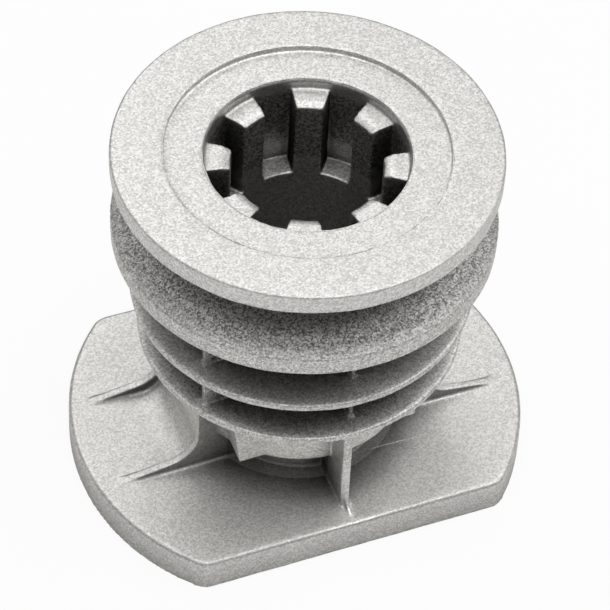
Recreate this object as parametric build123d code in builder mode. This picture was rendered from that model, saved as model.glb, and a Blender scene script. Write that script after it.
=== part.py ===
from build123d import *
from math import radians, tan
import os

# Mower blade adapter: one aluminium die casting that carries a belt pulley on a splined bore
# and seats the blade under a flat-sided plate. Millimetres, +Z up.
# The origin is on the bore axis, in the blade seat. X runs along the plate, -Y is the front.

# plate
plate_radius = 40.5
plate_width = 59.4
plate_thickness = 6.6
plate_corner = 4.0
plate_edge = 0.8

# belt pulley
adapter_height = 71.4
flange_radius = 32.5
top_rim = 3.7
groove_mouth = 11.6
groove_angle = 38.0
groove_depth = 10.5
groove_floor_round = 1.8
lower_rim = 3.5
rim_edge = 0.35

# cooling fins, each hung below what is above it by the gap between their rims
hub_radius = 19.5
upper_fin_radius = 29.5
upper_fin_gap = 12.0
lower_fin_radius = 28.2
lower_fin_gap = 9.1
fin_rim = 1.2
fin_draft = 6.0
fin_root_round = 2.2

# foot of the hub
hub_foot_z = 13.8
foot_core_radius = 15.2
shoulder_length = 32.6
shoulder_width = 31.2
shoulder_draft = 7.0

# bridge under the fins, with a rib along each side that runs out on the plate
bridge_length = 42.6
bridge_front = -8.3
bridge_back = 11.9
bridge_round = 5.0
rib_thickness = 1.5
rib_tip = 36.0
rib_rise = 2.6
rib_round = 6.0

# web on the middle plane, from the plate to the pulley and thinner towards the foot of each gap,
# with a thin seam on its edge where the die halves meet, and the two ties between the fins
web_thickness = 1.5
web_inset = 3.6
web_foot_round = 1.5
web_wedge = 0.7
seam_thickness = 0.5
seam_foot_round = 4.0
seam_slope = 3.2
tie_thickness = 1.0
tie_offset = 13.5
tie_reach = 22.5
tie_round = 2.5

# bore and splines
bore_radius = 12.7
entry_radius = 17.0
recess_radius = 23.8
recess_depth = 1.1
tooth_count = 8
tooth_drop = 2.0
tooth_length = 16.1
tooth_root_width = 6.8
tooth_tip_width = 4.6
tooth_tip_round = 0.5
tooth_root_round = 0.8
tooth_lead = 1.4
tooth_lead_drop = 0.5
entry_edge = 0.4
bore_chamfer = 0.8

# heights and reaches worked out from the sizes above
groove_top_z = adapter_height - top_rim
groove_bottom_z = groove_top_z - groove_mouth
pulley_bottom_z = groove_bottom_z - lower_rim
upper_fin_z = pulley_bottom_z - upper_fin_gap - fin_rim
lower_fin_z = upper_fin_z - lower_fin_gap - fin_rim
tooth_top_z = adapter_height - recess_depth - tooth_drop
spline_floor_z = tooth_top_z - tooth_length


def lean(reach, angle):
    return reach * tan(radians(angle))


groove_floor_radius = flange_radius - groove_depth
flank = lean(groove_depth, groove_angle / 2)
pulley_taper = lean(flange_radius - hub_radius, fin_draft)
upper_taper = lean(upper_fin_radius - hub_radius, fin_draft)
lower_taper = lean(lower_fin_radius - hub_radius, fin_draft)
web_reach = lower_fin_radius - web_inset

with BuildPart() as blade_adapter:
    # plate with two flat sides
    with BuildSketch() as plate_outline:
        Circle(plate_radius)
        Rectangle(2 * plate_radius, plate_width, mode=Mode.INTERSECT)
        fillet(plate_outline.vertices(), plate_corner)
    extrude(amount=plate_thickness)
    fillet(blade_adapter.edges().group_by(Axis.Z)[-1], plate_edge)

    # turned hub: foot core, fins, pulley
    with BuildSketch(Plane.XZ) as hub_profile:
        with BuildLine():
            Polyline(
                (0, plate_thickness / 2),
                (foot_core_radius, plate_thickness / 2),
                (foot_core_radius, hub_foot_z),
                (hub_radius, hub_foot_z),
                (hub_radius, lower_fin_z - lower_taper),
                (lower_fin_radius, lower_fin_z),
                (lower_fin_radius, lower_fin_z + fin_rim),
                (hub_radius, lower_fin_z + fin_rim + lower_taper),
                (hub_radius, upper_fin_z - upper_taper),
                (upper_fin_radius, upper_fin_z),
                (upper_fin_radius, upper_fin_z + fin_rim),
                (hub_radius, upper_fin_z + fin_rim + upper_taper),
                (hub_radius, pulley_bottom_z - pulley_taper),
                (flange_radius, pulley_bottom_z),
                (flange_radius, groove_bottom_z),
                (groove_floor_radius, groove_bottom_z + flank),
                (groove_floor_radius, groove_top_z - flank),
                (flange_radius, groove_top_z),
                (flange_radius, adapter_height),
                (0, adapter_height),
                close=True,
            )
        make_face()
        rims = hub_profile.vertices().filter_by(lambda v: v.X > lower_fin_radius - fin_rim)
        fillet(rims, rim_edge)
        floors = hub_profile.vertices().filter_by(lambda v: abs(v.X - groove_floor_radius) < rim_edge)
        fillet(floors, groove_floor_round)
        roots = hub_profile.vertices().filter_by(
            lambda v: abs(v.X - hub_radius) < rim_edge and v.Y > lower_fin_z
        )
        fillet(roots, fin_root_round)
    revolve(axis=Axis.Z)

    # square shoulder that stands out of the round hub below the lower fin
    with BuildSketch(Plane.XZ.offset(-shoulder_width / 2)):
        with BuildLine():
            shoulder_top = shoulder_length / 2 + lean(lower_fin_z - hub_foot_z, shoulder_draft)
            Polyline(
                (-shoulder_length / 2, hub_foot_z),
                (shoulder_length / 2, hub_foot_z),
                (shoulder_top, lower_fin_z),
                (-shoulder_top, lower_fin_z),
                close=True,
            )
        make_face()
    extrude(amount=shoulder_width)

    # bridge along the plate, with hollow ends
    with BuildSketch(Plane.XZ.offset(-bridge_back)) as bridge_side:
        with Locations((0, plate_thickness)):
            Rectangle(
                bridge_length + 4 * bridge_round,
                plate_thickness / 2,
                align=(Align.CENTER, Align.MAX),
            )
            Rectangle(
                bridge_length,
                lower_fin_z - plate_thickness,
                align=(Align.CENTER, Align.MIN),
            )
        corners = bridge_side.vertices().filter_by(
            lambda v: abs(abs(v.X) - bridge_length / 2) < rim_edge and v.Y < lower_fin_z - rim_edge
        )
        fillet(corners, bridge_round)
    extrude(amount=bridge_back - bridge_front)

    # ribs along both sides of the bridge
    front_rib = Plane.XZ.offset(-bridge_front - rib_thickness)
    back_rib = Plane.XZ.offset(-bridge_back)
    with BuildSketch(front_rib, back_rib) as rib_side:
        with BuildLine():
            Polyline(
                (-rib_tip, plate_thickness / 2),
                (rib_tip, plate_thickness / 2),
                (rib_tip, plate_thickness),
                (bridge_length / 2, plate_thickness + rib_rise),
                (bridge_length / 2, lower_fin_z),
                (-bridge_length / 2, lower_fin_z),
                (-bridge_length / 2, plate_thickness + rib_rise),
                (-rib_tip, plate_thickness),
                close=True,
            )
        make_face()
        corners = rib_side.vertices().filter_by(
            lambda v: abs(abs(v.X) - bridge_length / 2) < rim_edge and v.Y < lower_fin_z - rim_edge
        )
        fillet(corners, rib_round)
    extrude(amount=rib_thickness)

    # web on the middle plane below the fins, flared where it stands on the plate
    with BuildSketch(Plane.YZ) as web_side:
        with Locations((0, plate_thickness / 2)):
            Rectangle(
                2 * web_reach,
                lower_fin_z - plate_thickness / 2,
                align=(Align.CENTER, Align.MIN),
            )
        with Locations((0, plate_thickness)):
            Rectangle(
                plate_width - 2 * plate_edge,
                plate_thickness / 2,
                align=(Align.CENTER, Align.MAX),
            )
        inner = web_side.vertices().filter_by(lambda v: abs(abs(v.X) - web_reach) < rim_edge)
        fillet(inner.filter_by(lambda v: abs(v.Y - plate_thickness) < rim_edge), web_foot_round)
    extrude(amount=web_thickness / 2, both=True)

    # its wedges between the fins
    for wedge_top, gap in ((pulley_bottom_z, upper_fin_gap), (upper_fin_z, lower_fin_gap)):
        with BuildSketch(Plane.XZ):
            with BuildLine():
                Polyline(
                    (-web_thickness / 2, wedge_top),
                    (web_thickness / 2, wedge_top),
                    (web_wedge / 2, wedge_top - gap),
                    (-web_wedge / 2, wedge_top - gap),
                    close=True,
                )
            make_face()
        extrude(amount=web_reach, both=True)

    # seam on the web's edge, sloped out over each fin
    with BuildSketch(Plane.YZ) as seam_side:
        with Locations((0, plate_thickness / 2)):
            Rectangle(
                2 * web_reach,
                pulley_bottom_z - plate_thickness / 2,
                align=(Align.CENTER, Align.MIN),
            )
        with Locations((0, plate_thickness)):
            Rectangle(
                plate_width - 2 * plate_edge,
                plate_thickness / 2,
                align=(Align.CENTER, Align.MAX),
            )
        with Locations((0, lower_fin_z + fin_rim), (0, upper_fin_z + fin_rim)):
            Rectangle(
                2 * (lower_fin_radius - rim_edge),
                fin_rim / 2,
                align=(Align.CENTER, Align.MAX),
            )
        inner = seam_side.vertices().filter_by(lambda v: abs(abs(v.X) - web_reach) < rim_edge)
        fillet(inner.filter_by(lambda v: abs(v.Y - plate_thickness) < rim_edge), seam_foot_round)
        chamfer(inner.filter_by(lambda v: abs(v.Y - lower_fin_z - fin_rim) < rim_edge), seam_slope)
        chamfer(inner.filter_by(lambda v: abs(v.Y - upper_fin_z - fin_rim) < rim_edge), seam_slope)
    extrude(amount=seam_thickness / 2, both=True)

    # ties between the fins and the pulley, flared under the pulley and the upper fin
    front_tie = Plane.XZ.offset(tie_offset - tie_thickness / 2)
    back_tie = Plane.XZ.offset(-tie_offset - tie_thickness / 2)
    with BuildSketch(front_tie, back_tie) as tie_side:
        with Locations((0, lower_fin_z)):
            Rectangle(
                2 * tie_reach,
                pulley_bottom_z - lower_fin_z,
                align=(Align.CENTER, Align.MIN),
            )
        with Locations((0, upper_fin_z), (0, pulley_bottom_z)):
            Rectangle(
                2 * (tie_reach + tie_round),
                fin_rim / 2,
                align=(Align.CENTER, Align.MIN),
            )
        inner = tie_side.vertices().filter_by(lambda v: abs(abs(v.X) - tie_reach) < rim_edge)
        fillet(inner.filter_by(lambda v: abs(v.Y - upper_fin_z) < rim_edge), tie_round - rim_edge)
        fillet(inner.filter_by(lambda v: abs(v.Y - pulley_bottom_z) < rim_edge), tie_round - rim_edge)
    extrude(amount=tie_thickness)

    # turned cut: shallow recess, clear entry and the lead-in of the teeth
    entry_z = adapter_height - recess_depth
    lead_z = tooth_top_z - tooth_lead_drop
    with BuildSketch(Plane.XZ):
        with BuildLine():
            Polyline(
                (0, adapter_height),
                (recess_radius, adapter_height),
                (recess_radius, entry_z),
                (entry_radius + entry_edge, entry_z),
                (entry_radius, entry_z - entry_edge),
                (entry_radius, tooth_top_z),
                (bore_radius + tooth_lead, tooth_top_z),
                (bore_radius, lead_z),
                (0, lead_z),
                close=True,
            )
        make_face()
    revolve(axis=Axis.Z, mode=Mode.SUBTRACT)

    # spline teeth, left standing between the gaps
    tooth_taper = (tooth_root_width - tooth_tip_width) / (entry_radius - bore_radius)
    inner_width = tooth_tip_width - tooth_taper * tooth_root_round
    outer_width = tooth_root_width + tooth_taper * tooth_root_round
    with BuildSketch(Plane.XY.offset(spline_floor_z)) as gaps:
        Circle(entry_radius)
        with PolarLocations(0, tooth_count, start_angle=180 / tooth_count):
            Polygon(
                (bore_radius - tooth_root_round, -inner_width / 2),
                (entry_radius + tooth_root_round, -outer_width / 2),
                (entry_radius + tooth_root_round, outer_width / 2),
                (bore_radius - tooth_root_round, inner_width / 2),
                align=None,
                mode=Mode.SUBTRACT,
            )
        Circle(bore_radius)
        ends = gaps.vertices().sort_by_distance((0, 0))
        fillet(ends[: 2 * tooth_count], tooth_tip_round)
        fillet(ends[-2 * tooth_count :], tooth_root_round)
    extrude(amount=tooth_top_z - spline_floor_z, mode=Mode.SUBTRACT)

    # bore, eased at its lower mouth
    with Locations((0, 0, adapter_height)):
        Hole(bore_radius)
    Cone(
        bore_radius + bore_chamfer,
        bore_radius,
        bore_chamfer,
        align=(Align.CENTER, Align.CENTER, Align.MIN),
        mode=Mode.SUBTRACT,
    )

blade_adapter.part.label = "blade_adapter"

os.makedirs("parts", exist_ok=True)
export_step(blade_adapter.part, "parts/blade_adapter.step")
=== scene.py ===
import math
import bmesh
import bpy
from mathutils import Matrix, Vector


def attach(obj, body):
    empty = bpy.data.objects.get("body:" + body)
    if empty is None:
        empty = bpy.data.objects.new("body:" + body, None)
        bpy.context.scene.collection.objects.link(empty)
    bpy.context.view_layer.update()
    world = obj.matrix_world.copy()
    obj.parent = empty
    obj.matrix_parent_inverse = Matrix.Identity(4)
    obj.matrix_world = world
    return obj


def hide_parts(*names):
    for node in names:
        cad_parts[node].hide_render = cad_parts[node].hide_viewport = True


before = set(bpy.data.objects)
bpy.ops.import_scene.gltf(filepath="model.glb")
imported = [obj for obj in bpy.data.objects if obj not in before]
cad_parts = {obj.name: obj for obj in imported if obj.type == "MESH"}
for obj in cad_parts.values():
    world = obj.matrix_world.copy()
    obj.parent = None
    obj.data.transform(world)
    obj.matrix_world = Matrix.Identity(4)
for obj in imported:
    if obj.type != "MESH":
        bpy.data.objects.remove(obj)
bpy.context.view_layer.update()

mm = 0.001
mergeGap = 0.002 * mm
print("frame loaded:", list(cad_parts))


def linearColor(hexText):  # sRGB hex to linear RGBA
    values = [int(hexText[i:i + 2], 16) / 255 for i in (1, 3, 5)]
    return [v / 12.92 if v <= 0.04045 else ((v + 0.055) / 1.055) ** 2.4 for v in values] + [1.0]


def addNode(tree, kind, links=None, values=None, **settings):  # a node as a source gives its first output
    node = tree.nodes.new(kind)
    for name, value in settings.items():
        setattr(node, name, value)
    for socket, value in (values or {}).items():
        node.inputs[socket].default_value = value
    for socket, source in (links or {}).items():
        output = source.outputs[0] if isinstance(source, bpy.types.Node) else source
        tree.links.new(output, node.inputs[socket])
    return node


def fromRange(pair, unit=1.0):
    return {"From Min": pair[0] * unit, "From Max": pair[1] * unit}


def showObject(name, data):
    obj = bpy.data.objects.new(name, data)
    bpy.context.collection.objects.link(obj)
    return obj


# the skin of the casting: edges and corners rounded as the metal fills the die, faces slightly uneven
castSkin = dict(voxel=0.25, smoothing=1, triangles=190000,
                swell=0.12, swellSize=5.0, dimple=0.03, dimpleSize=0.9)


def makeCastSkin(source, values):
    data = source.data.copy()
    shell = bmesh.new()
    shell.from_mesh(data)
    bmesh.ops.remove_doubles(shell, verts=shell.verts, dist=mergeGap)
    shell.to_mesh(data)
    shell.free()
    obj = showObject("castBody", data)
    remesh = obj.modifiers.new("fill", "REMESH")
    remesh.mode = "VOXEL"
    remesh.voxel_size = values["voxel"] * mm
    smooth = obj.modifiers.new("round", "SMOOTH")
    smooth.factor = 0.5
    smooth.iterations = values["smoothing"]
    for name in ("swell", "dimple"):
        noise = bpy.data.textures.new(name, "CLOUDS")
        noise.noise_scale = values[name + "Size"] * mm
        noise.noise_depth = 1
        displace = obj.modifiers.new(name, "DISPLACE")
        displace.texture = noise
        displace.texture_coords = "LOCAL"
        displace.strength = values[name] * mm
        displace.mid_level = 0.5
    fine = bpy.data.meshes.new_from_object(obj.evaluated_get(bpy.context.evaluated_depsgraph_get()))
    obj.modifiers.clear()
    obj.data = fine
    count = sum(len(p.vertices) - 2 for p in fine.polygons)
    thin = obj.modifiers.new("thin", "DECIMATE")
    thin.ratio = min(1.0, values["triangles"] / count)
    skin = bpy.data.meshes.new_from_object(obj.evaluated_get(bpy.context.evaluated_depsgraph_get()))
    obj.modifiers.clear()
    obj.data = skin
    skin.name = "castBody"
    skin.shade_smooth()
    print("cast skin:", count, "triangles, thinned to", len(skin.polygons))
    return obj


casting = makeCastSkin(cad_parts["blade_adapter"], castSkin)

# blasted die-cast aluminium: matt and pale with a salt-and-pepper grain where the shot has bitten,
# smoother on the plate and the top face; painted shade makes it dark and smooth in the recesses,
# between the fins, in the bore and on the walls of the foot, and darker in inner corners, on outer edges
# and down the plate's side;
# lengths in mm, pairs are the start and end of a change, and a loss is the share that is taken away;
# the pits are finer than this in life, and are drawn coarser so that they show
aluminium = dict(
    # recess is the colour of the painted shade
    bright="#f4f3f0", dull="#7f7c79", recess="#302f2e", roughness=(0.43, 0.57), grain=0.27, bump=0.12,
    height=80.0, biteAndShade={0.0: 0.5, 5.6: 0.5, 6.5: 0.45, 14.0: 0.45, 24.0: 0.65, 50.0: 0.65, 53.0: 0.7,
                       56.0: 0.7, 57.0: 1.15, 67.0: 1.15, 68.0: 0.5},  # bite of the shot by height, heavy in the belt groove, where it paints shade too
    reach=20.0, openLit=(0.15, 0.57),  # painted shade in the recesses, dark to pale as they open
    shaft=18.0, shaftLoss=0.3, shaftCalm=0.9, upward=(0.8, 0.97),  # bore: painted shade, with painted light on faces that look up
    fins=(28.0, 53.0), fade=(25.5, 28.5), strew=5.0, finLoss=0.68,  # painted shade in the gaps between the fins
    walls=(7.0, 27.8), inner=13.0, core=(15.6, 17.5), upright=(0.3, 0.85), wallLoss=0.5,  # painted shade on the walls of the foot
    crevice=3.0, corner=(0.3, 0.75), cornerTone=0.5,  # painted shade in inner corners
    rims=29.6, leaning=(0.995, 0.93), lifted=(0.55, 0.85), edgeLoss=0.32,  # painted shade on the outer edges
    seat=6.2, seatTone=0.75)  # painted shade, darker down the side of the plate


def addPaintedShade(tree, values, at, facing, outward, inside, specks):
    # painted shade: by ambient occlusion, enclosed faces take the dark recess colour and open faces the pale
    # grain
    shelter = addNode(tree, "ShaderNodeAmbientOcclusion", values={"Distance": values["reach"] * mm},
                      samples=8, only_local=True)
    openLit = addNode(tree, "ShaderNodeMapRange", {"Value": shelter.outputs["AO"]}, fromRange(values["openLit"]))
    # painted shade: the bore darker still
    boreShade = addNode(tree, "ShaderNodeMath", {0: inside}, {1: -values["shaftLoss"], 2: 1.0},
                     operation="MULTIPLY_ADD")
    across = addNode(tree, "ShaderNodeMath", {0: openLit, 1: boreShade}, operation="MULTIPLY")

    # painted shade between the fins, deeper inwards, with a speckled edge
    low, high = (v * mm for v in values["fins"])
    between = addNode(tree, "ShaderNodeMath", {0: at.outputs["Z"]},
                      {1: (low + high) / 2, 2: (high - low) / 2}, operation="COMPARE")
    around = addNode(tree, "ShaderNodeMath", {0: outward}, {1: values["shaft"] * mm}, operation="GREATER_THAN")
    finned = addNode(tree, "ShaderNodeMath", {0: between, 1: around}, operation="MULTIPLY")
    strewn = addNode(tree, "ShaderNodeMath", {0: specks.outputs["Green"], 2: outward},
                     {1: values["strew"] * mm}, operation="MULTIPLY_ADD")
    deepInFinGap = addNode(tree, "ShaderNodeMapRange", {"Value": strewn},
                     {**fromRange(values["fade"], mm), "To Min": 1.0, "To Max": 0.0})
    veiled = addNode(tree, "ShaderNodeMath", {0: finned, 1: deepInFinGap}, operation="MULTIPLY")
    finGapShade = addNode(tree, "ShaderNodeMath", {0: veiled}, {1: -values["finLoss"], 2: 1.0},
                      operation="MULTIPLY_ADD")
    gapAndHollowShade = addNode(tree, "ShaderNodeMath", {0: across, 1: finGapShade}, operation="MINIMUM")

    # painted shade on the upright walls of the bridge and the ribs near the foot
    sideways = addNode(tree, "ShaderNodeMath", {0: facing.outputs["Y"]}, operation="ABSOLUTE")
    upright = addNode(tree, "ShaderNodeMapRange", {"Value": sideways}, fromRange(values["upright"]))
    low, high = (v * mm for v in values["walls"])
    footed = addNode(tree, "ShaderNodeMath", {0: at.outputs["Z"]},
                     {1: (low + high) / 2, 2: (high - low) / 2}, operation="COMPARE")
    amid = addNode(tree, "ShaderNodeMath", {0: at.outputs["Y"]}, {1: 0.0, 2: values["inner"] * mm},
                   operation="COMPARE")
    clear = addNode(tree, "ShaderNodeMapRange", {"Value": outward}, fromRange(values["core"], mm))
    beside = addNode(tree, "ShaderNodeMath", {0: amid, 1: clear}, operation="MULTIPLY")
    standing = addNode(tree, "ShaderNodeMath", {0: upright, 1: footed}, operation="MULTIPLY")
    shadedWalls = addNode(tree, "ShaderNodeMath", {0: standing, 1: beside}, operation="MULTIPLY")
    wallShade = addNode(tree, "ShaderNodeMath", {0: shadedWalls}, {1: -values["wallLoss"], 2: 1.0},
                     operation="MULTIPLY_ADD")
    slight = addNode(tree, "ShaderNodeMath", {0: gapAndHollowShade, 1: wallShade}, operation="MULTIPLY")

    # painted light: inside the bore the faces that look up, the teeth and the ledge, keep the pale grain
    upward = addNode(tree, "ShaderNodeMapRange", {"Value": facing.outputs["Z"]}, fromRange(values["upward"]))
    litFromAbove = addNode(tree, "ShaderNodeMath", {0: upward, 1: inside}, operation="MULTIPLY")
    return addNode(tree, "ShaderNodeMath", {0: slight, 1: litFromAbove}, operation="MAXIMUM")


def addPaintedShadeDetails(tree, values, at, facing, outward):
    # painted shade in inner corners, by ambient occlusion over a short reach
    corner = addNode(tree, "ShaderNodeAmbientOcclusion", values={"Distance": values["crevice"] * mm},
                     samples=8, only_local=True)
    cornerShade = addNode(tree, "ShaderNodeMapRange", {"Value": corner.outputs["AO"]},
                   {**fromRange(values["corner"]), "To Min": values["cornerTone"]})
    # painted shade on the outer edges where they slope, so they show no bright line
    leaning = addNode(tree, "ShaderNodeMapRange", {"Value": facing.outputs["Z"]}, fromRange(values["leaning"]))
    lifted = addNode(tree, "ShaderNodeMapRange", {"Value": facing.outputs["Z"]}, fromRange(values["lifted"]))
    outer = addNode(tree, "ShaderNodeMath", {0: outward}, {1: values["rims"] * mm}, operation="GREATER_THAN")
    sloped = addNode(tree, "ShaderNodeMath", {0: leaning, 1: lifted}, operation="MULTIPLY")
    edges = addNode(tree, "ShaderNodeMath", {0: sloped, 1: outer}, operation="MULTIPLY")
    edgeShade = addNode(tree, "ShaderNodeMath", {0: edges}, {1: -values["edgeLoss"], 2: 1.0},
                     operation="MULTIPLY_ADD")
    cornerEdgeShade = addNode(tree, "ShaderNodeMath", {0: cornerShade, 1: edgeShade}, operation="MULTIPLY")
    # painted shade: the plate's side darker further down, towards the floor
    lowerShade = addNode(tree, "ShaderNodeMapRange", {"Value": at.outputs["Z"]},
                   {"From Max": values["seat"] * mm, "To Min": values["seatTone"]})
    return addNode(tree, "ShaderNodeMath", {0: cornerEdgeShade, 1: lowerShade}, operation="MULTIPLY")


def makeAluminium(values):
    material = bpy.data.materials.new("blastedDieCastAluminium")
    material.use_nodes = True
    tree = material.node_tree
    shader = tree.nodes["Principled BSDF"]
    shader.inputs["Metallic"].default_value = 1.0
    place = addNode(tree, "ShaderNodeTexCoord")
    at = addNode(tree, "ShaderNodeSeparateXYZ", {"Vector": place.outputs["Object"]})
    facing = addNode(tree, "ShaderNodeSeparateXYZ", {"Vector": place.outputs["Normal"]})
    flat = addNode(tree, "ShaderNodeVectorMath", {0: place.outputs["Object"]}, {1: (1, 1, 0)},
                   operation="MULTIPLY")
    outward = addNode(tree, "ShaderNodeVectorMath", {0: flat}, operation="LENGTH").outputs["Value"]
    inside = addNode(tree, "ShaderNodeMath", {0: outward}, {1: values["shaft"] * mm}, operation="LESS_THAN")

    scale = 1 / (values["grain"] * mm)
    grain = addNode(tree, "ShaderNodeTexNoise", {"Vector": place.outputs["Object"]},
                    {"Scale": scale, "Detail": 3.0, "Roughness": 0.7})
    smoothest, roughest = values["roughness"]
    sheen = addNode(tree, "ShaderNodeMapRange", {"Value": grain},
                    {"From Min": 0.3, "From Max": 0.7, "To Min": smoothest, "To Max": roughest})
    dots = addNode(tree, "ShaderNodeTexVoronoi", {"Vector": place.outputs["Object"]}, {"Scale": scale})
    specks = addNode(tree, "ShaderNodeSeparateColor", {"Color": dots.outputs["Color"]})
    level = addNode(tree, "ShaderNodeMath", {0: at.outputs["Z"]}, {1: values["height"] * mm},
                    operation="DIVIDE")
    # grain by height; the heavy grain in the belt groove also paints shade there
    biteAndShade = addNode(tree, "ShaderNodeValToRGB", {"Fac": level})
    stops = biteAndShade.color_ramp.elements
    for i, (z, amount) in enumerate(values["biteAndShade"].items()):
        stop = stops[i] if i < 2 else stops.new(z / values["height"])
        stop.position = z / values["height"]
        stop.color = (amount, amount, amount, 1.0)
    pits = addNode(tree, "ShaderNodeMath", {0: specks.outputs["Red"], 1: biteAndShade}, operation="MULTIPLY")
    tone = addNode(tree, "ShaderNodeMixRGB", {"Fac": pits},
                   {"Color1": linearColor(values["bright"]), "Color2": linearColor(values["dull"])})

    # the recess colour is painted shade, and shows where the painted-light mask is low
    paintedLit = addPaintedShade(tree, values, at, facing, outward, inside, specks)
    skin = addNode(tree, "ShaderNodeMixRGB", {"Fac": paintedLit, "Color2": tone},
                   {"Color1": linearColor(values["recess"])})
    # painted shade in inner corners, on the outer edges and down the plate's side, multiplied into the colour
    shadeDetails = addPaintedShadeDetails(tree, values, at, facing, outward)
    shadedColour = addNode(tree, "ShaderNodeMixRGB", {"Color1": skin, "Color2": shadeDetails}, {"Fac": 1.0},
                   blend_type="MULTIPLY")
    calm = addNode(tree, "ShaderNodeMath", {0: inside}, {1: -values["shaftCalm"], 2: 1.0},
                   operation="MULTIPLY_ADD")
    depth = addNode(tree, "ShaderNodeMath", {0: biteAndShade, 1: calm}, operation="MULTIPLY")
    bump = addNode(tree, "ShaderNodeBump", {"Height": grain, "Strength": depth},
                   {"Distance": values["bump"] * mm})
    tree.links.new(shadedColour.outputs["Color"], shader.inputs["Base Color"])
    # the painted shade dims the reflections too
    tree.links.new(shadedColour.outputs["Color"], shader.inputs["Specular Tint"])
    tree.links.new(sheen.outputs["Result"], shader.inputs["Roughness"])
    tree.links.new(bump.outputs["Normal"], shader.inputs["Normal"])
    return material


metal = makeAluminium(aluminium)
casting.data.materials.clear()
casting.data.materials.append(metal)
print("aluminium made")


def ringPoints(radius, z, count=120):
    angles = [math.tau * i / count for i in range(count)]
    return [(radius * math.cos(a), radius * math.sin(a), z) for a in angles]


# burrs and flash that the die leaves: rings on the edges of the recess and the bore, and straight
# lines where the die halves meet, each as (points in mm, closed)
flash = dict(spacing=0.35, wander=0.22, waveSize=2.4, radius=0.17, thickness=(0.35, 1.25), seed=3.0, lines=[
    (ringPoints(23.85, 71.34), True),
    (ringPoints(17.35, 70.22), True),
    ([(5.6, -15.0, 6.58), (13.0, -15.05, 6.58), (19.5, -15.2, 6.56)], False),
    ([(-0.3, -25.0, 41.0), (-0.5, -28.9, 40.62)], False),
    ([(-0.3, -25.0, 30.55), (-0.5, -27.8, 30.32)], False),
    ([(0.3, 25.0, 41.0), (0.5, 28.9, 40.62)], False),
    ([(0.3, 25.0, 30.55), (0.5, 27.8, 30.32)], False),
])


def makeFlash(values, material):
    paths = bpy.data.curves.new("castFlash", "CURVE")
    paths.dimensions = "3D"
    for points, closed in values["lines"]:
        line = paths.splines.new("POLY")
        line.points.add(len(points) - 1)
        for point, place in zip(line.points, points):
            point.co = (*(v * mm for v in place), 1.0)
        line.use_cyclic_u = closed
    tree = bpy.data.node_groups.new("flashLines", "GeometryNodeTree")
    tree.interface.new_socket("Geometry", in_out="INPUT", socket_type="NodeSocketGeometry")
    sockets = {name: tree.interface.new_socket(name, in_out="INPUT", socket_type="NodeSocketFloat")
               for name in ("Spacing", "Wander", "Wave Size", "Radius", "Seed")}
    tree.interface.new_socket("Geometry", in_out="OUTPUT", socket_type="NodeSocketGeometry")
    given = addNode(tree, "NodeGroupInput").outputs
    steps = addNode(tree, "GeometryNodeResampleCurve",
                    {"Curve": given["Geometry"], "Length": given["Spacing"]}, mode="LENGTH")
    spot = addNode(tree, "GeometryNodeInputPosition")
    finer = addNode(tree, "ShaderNodeMath", {1: given["Wave Size"]}, {0: 1.0}, operation="DIVIDE")
    waves = addNode(tree, "ShaderNodeTexNoise", {"Vector": spot, "W": given["Seed"], "Scale": finer},
                    {"Detail": 2.0}, noise_dimensions="4D")
    centred = addNode(tree, "ShaderNodeVectorMath", {0: waves.outputs["Color"]}, {1: (0.5, 0.5, 0.5)},
                      operation="SUBTRACT")
    sway = addNode(tree, "ShaderNodeVectorMath", {0: centred, "Scale": given["Wander"]}, operation="SCALE")
    moved = addNode(tree, "GeometryNodeSetPosition", {"Geometry": steps, "Offset": sway})
    ring = addNode(tree, "GeometryNodeCurvePrimitiveCircle", {"Radius": given["Radius"]}, {"Resolution": 6})
    thinnest, thickest = values["thickness"]
    swell = addNode(tree, "ShaderNodeMapRange", {"Value": waves},
                    {"From Min": 0.35, "From Max": 0.65, "To Min": thinnest, "To Max": thickest})
    swept = addNode(tree, "GeometryNodeCurveToMesh", {"Curve": moved, "Profile Curve": ring, "Scale": swell},
                    {"Fill Caps": True})
    real = addNode(tree, "GeometryNodeRealizeInstances", {"Geometry": swept})
    coated = addNode(tree, "GeometryNodeSetMaterial", {"Geometry": real}, {"Material": material})
    addNode(tree, "NodeGroupOutput", {"Geometry": coated})
    obj = showObject("flashPaths", paths)
    modifier = obj.modifiers.new("flash", "NODES")
    modifier.node_group = tree
    settings = {"Spacing": values["spacing"] * mm, "Wander": values["wander"] * mm,
                "Wave Size": values["waveSize"] * mm, "Radius": values["radius"] * mm, "Seed": values["seed"]}
    for name, value in settings.items():
        modifier[sockets[name].identifier] = value
    data = bpy.data.meshes.new_from_object(obj.evaluated_get(bpy.context.evaluated_depsgraph_get()))
    bpy.data.objects.remove(obj)
    shell = bmesh.new()
    shell.from_mesh(data)
    bmesh.ops.remove_doubles(shell, verts=shell.verts, dist=mergeGap)
    bmesh.ops.recalc_face_normals(shell, faces=shell.faces)
    shell.to_mesh(data)
    shell.free()
    data.name = "castFlash"
    data.shade_smooth()
    print("flash:", len(data.polygons), "faces")
    return showObject("castFlash", data)


burrs = makeFlash(flash, metal)

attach(casting, "root")
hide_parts("blade_adapter")
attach(burrs, "root")

# camera at the photograph's viewing angle, lens in pixels of a 610 pixel picture
view = dict(azimuth=-22.91, elevation=49.11, roll=3.06, lens=3104.65, picture=610, distance=534.63,
            aim=(0.0, 0.0, 35.0), aside=0.7715, upward=-1.8065)


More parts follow.
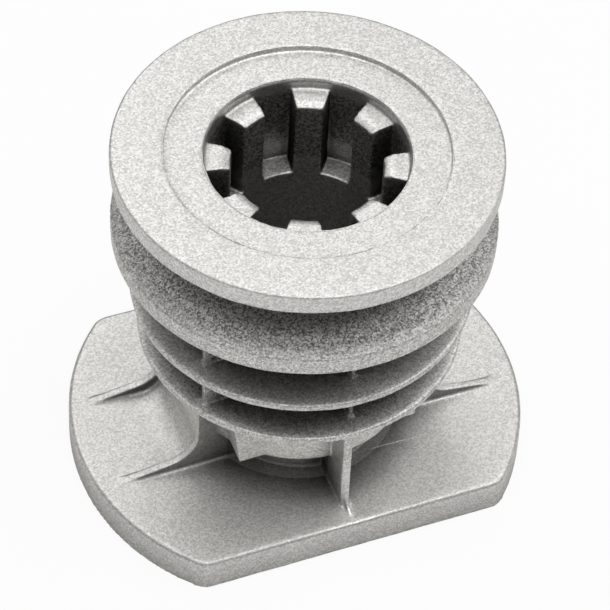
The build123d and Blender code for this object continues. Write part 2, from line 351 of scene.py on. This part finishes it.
def placeCamera(values):
    a, e, r = (math.radians(values[k]) for k in ("azimuth", "elevation", "roll"))
    back = Vector((math.sin(a) * math.cos(e), -math.cos(a) * math.cos(e), math.sin(e)))
    level = Vector((math.cos(a), math.sin(a), 0.0))
    rise = back.cross(level)
    right = level * math.cos(r) + rise * math.sin(r)
    up = rise * math.cos(r) - level * math.sin(r)
    shift = right * values["aside"] + up * values["upward"] + back * values["distance"]
    eye = Vector(values["aim"]) + shift
    lens = bpy.data.cameras.new("camera")
    lens.sensor_width = 36.0
    lens.lens = values["lens"] / values["picture"] * lens.sensor_width
    lens.clip_start = 0.01
    camera = showObject("camera", lens)
    turn = Matrix((right, up, back)).transposed().to_4x4()
    camera.matrix_world = Matrix.Translation(eye * mm) @ turn
    bpy.context.scene.camera = camera


placeCamera(view)

# studio: pale floor, soft light from above; covered and shaded are in mm, the rest in metres
studio = dict(floor="#e2e2e2", floorSize=3.0, roughness=0.9, glow=0.92, mirrored=0.4, covered=14.5,
              shaded=(45.0, 170.0), world=0.11, aim=(0.0, 0.0, 0.03))
lamps = {
    "highLeft": dict(place=(-0.31, 0.0, 0.85), size=0.4, power=1.65),
    "highRight": dict(place=(0.31, 0.0, 0.85), size=0.4, power=1.1),
    "highFront": dict(place=(0.0, -0.31, 0.85), size=0.4, power=2.5),
    "sideRight": dict(place=(0.65, -0.1, 0.62), size=0.5, power=2.1),
    "backFill": dict(place=(0.0, 0.65, 0.65), size=0.5, power=1.75),
    "lowFrontLeft": dict(place=(-0.5, -0.6, 0.45), size=0.5, power=0.3),
    "lowBackLeft": dict(place=(-0.6, 0.5, 0.45), size=0.5, power=0.9),
    "lowBackRight": dict(place=(0.6, 0.5, 0.45), size=0.5, power=0.7),
}


def makePaper(values):  # matt white paper: even and pale, white where the camera sees it
    paper = bpy.data.materials.new("whitePaper")
    paper.use_nodes = True
    tree = paper.node_tree
    shader = tree.nodes["Principled BSDF"]
    shader.inputs["Base Color"].default_value = linearColor(values["floor"])
    shader.inputs["Roughness"].default_value = values["roughness"]
    seen = addNode(tree, "ShaderNodeLightPath")
    place = addNode(tree, "ShaderNodeTexCoord")
    spread = addNode(tree, "ShaderNodeVectorMath", {0: place.outputs["Object"]}, operation="LENGTH")
    away = spread.outputs["Value"]
    beyond = addNode(tree, "ShaderNodeMath", {0: away}, {1: values["covered"] * mm}, operation="GREATER_THAN")
    # painted shadow: near the object the floor's glow is dimmed in the metal's reflections
    shade = addNode(tree, "ShaderNodeMapRange", {"Value": away}, fromRange(values["shaded"], mm))
    direct = addNode(tree, "ShaderNodeMath", {0: seen.outputs["Is Camera Ray"], 1: beyond},
                     operation="MULTIPLY")
    mirrored = addNode(tree, "ShaderNodeMath", {0: seen.outputs["Is Glossy Ray"], 1: shade},
                       operation="MULTIPLY")
    white = addNode(tree, "ShaderNodeMath", {0: direct}, {1: values["glow"]}, operation="MULTIPLY")
    share = addNode(tree, "ShaderNodeMath", {0: mirrored, 2: white}, {1: values["mirrored"]},
                    operation="MULTIPLY_ADD")
    glow = addNode(tree, "ShaderNodeEmission", values={"Color": (1, 1, 1, 1), "Strength": 1.0})
    blend = addNode(tree, "ShaderNodeMixShader", {0: share, 1: shader, 2: glow})
    tree.links.new(blend.outputs["Shader"], tree.nodes["Material Output"].inputs["Surface"])
    return paper


def makeStudio(values, lights):
    half = values["floorSize"] / 2
    data = bpy.data.meshes.new("floor")
    corners = [(-half, -half, 0), (half, -half, 0), (half, half, 0), (-half, half, 0)]
    data.from_pydata(corners, [], [(0, 1, 2, 3)])
    floor = showObject("floor", data)
    data.materials.append(makePaper(values))
    world = bpy.context.scene.world or bpy.data.worlds.new("studio")
    bpy.context.scene.world = world
    world.use_nodes = True
    ground = world.node_tree.nodes["Background"]
    ground.inputs["Color"].default_value = (1, 1, 1, 1)
    ground.inputs["Strength"].default_value = values["world"]
    for name, lamp in lights.items():
        light = bpy.data.lights.new(name, "AREA")
        light.size = lamp["size"]
        light.energy = lamp["power"]
        obj = showObject(name, light)
        obj.location = lamp["place"]
        aim = Vector(values["aim"]) - obj.location
        obj.rotation_euler = aim.to_track_quat("-Z", "Y").to_euler()


makeStudio(studio, lamps)
bpy.context.scene.view_settings.view_transform = "Standard"
print("studio and camera placed")
